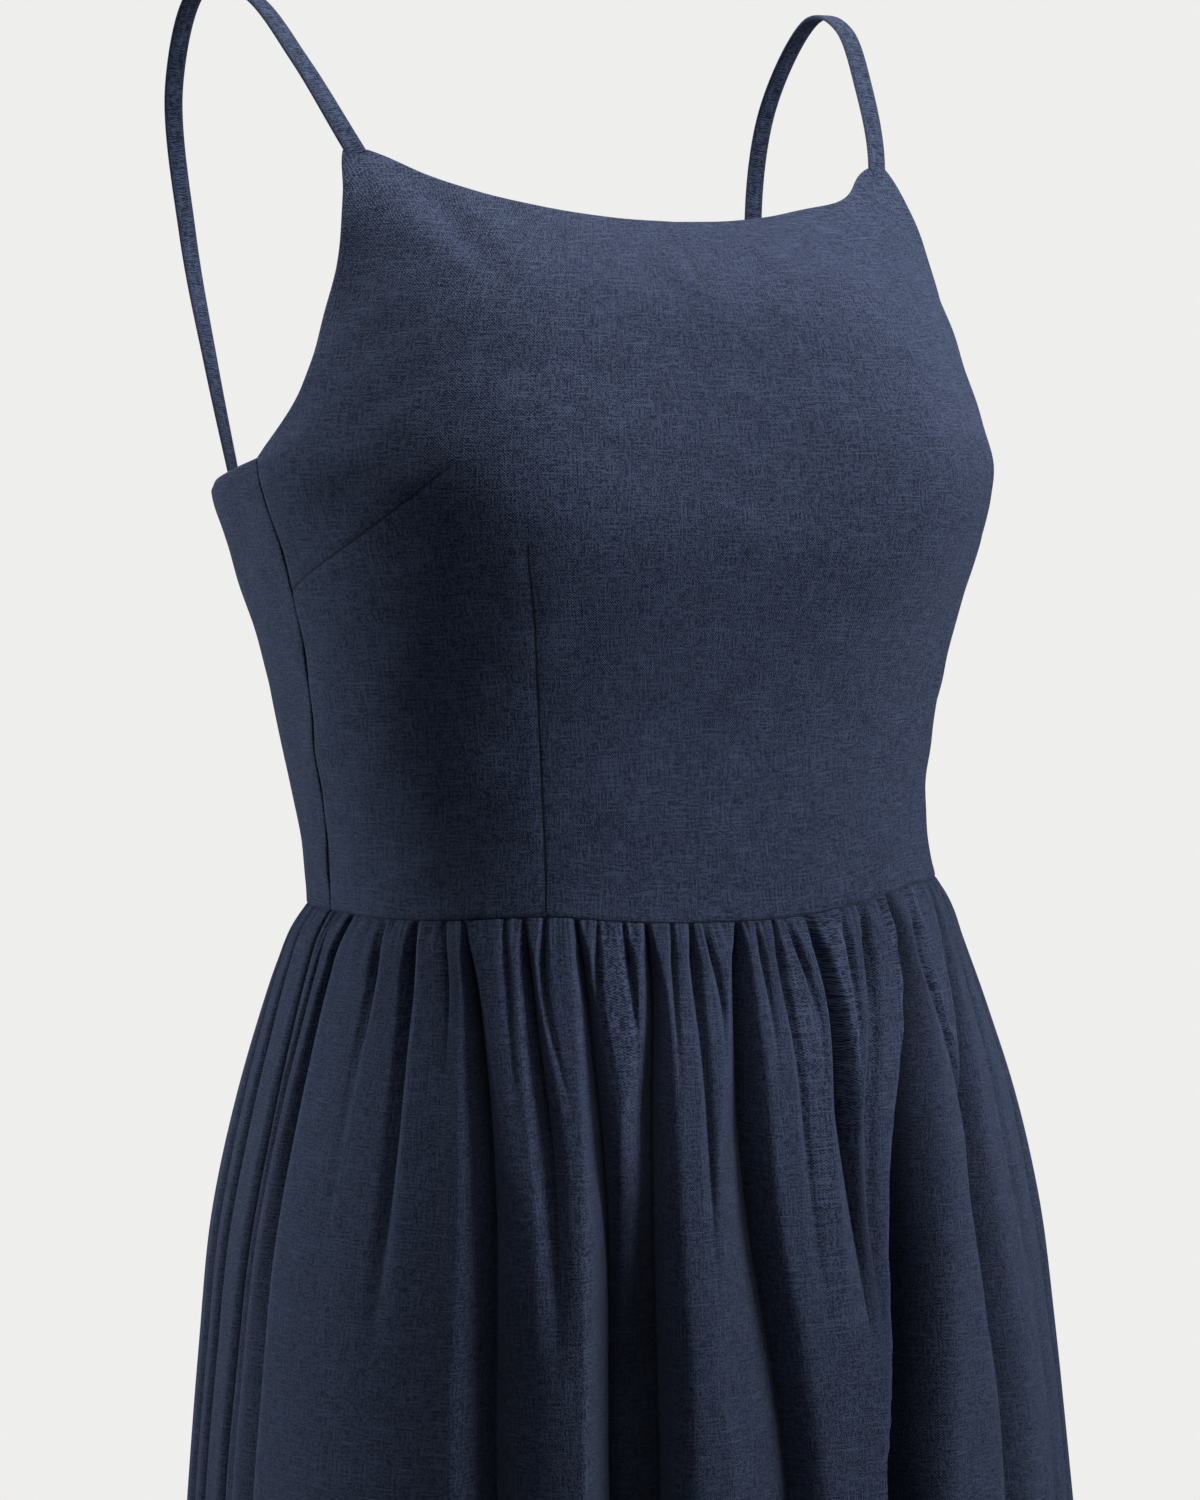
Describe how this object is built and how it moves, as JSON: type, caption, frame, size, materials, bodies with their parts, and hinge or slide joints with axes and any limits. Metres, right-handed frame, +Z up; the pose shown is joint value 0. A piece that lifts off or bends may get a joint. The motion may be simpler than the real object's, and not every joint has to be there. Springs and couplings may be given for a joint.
{
  "type": "sundress",
  "caption": "Sleeveless midi sundress in plain linen: darted bodice on flat shoulder straps, gathered skirt and a hidden back zip, filled out as worn.",
  "frame": {"origin": "midway between the undersides of the two straps where they cross the shoulders, which is where a wearer or hanger holds the dress up", "axes": "+Z up from hem to shoulders; the front faces -Y and the back seam +Y; +X is the wearer's left"},
  "size_m": [0.4332, 0.3788, 1.0876],
  "materials": {
    "linen": "plain-weave navy linen, matt with a soft sheen",
    "zip_metal": "navy lacquer over metal, satin"
  },
  "bodies": {
    "dress": {"bodice_front": "linen", "bodice_back_left": "linen", "bodice_back_right": "linen", "skirt_front": "linen", "skirt_back_left": "linen", "skirt_back_right": "linen", "strap_left": "linen", "strap_right": "linen", "zip_slider": "zip_metal"},
    "pull_tab": {"zip_pull": "zip_metal"}
  },
  "joints": [
    {"name": "pull_tab_hinge", "type": "hinge", "parent": "dress", "child": "pull_tab", "pos_m": [0, 0.05127, -0.2294], "axis": [1, 0, 0], "range_deg": [0, 150]}
  ]
}
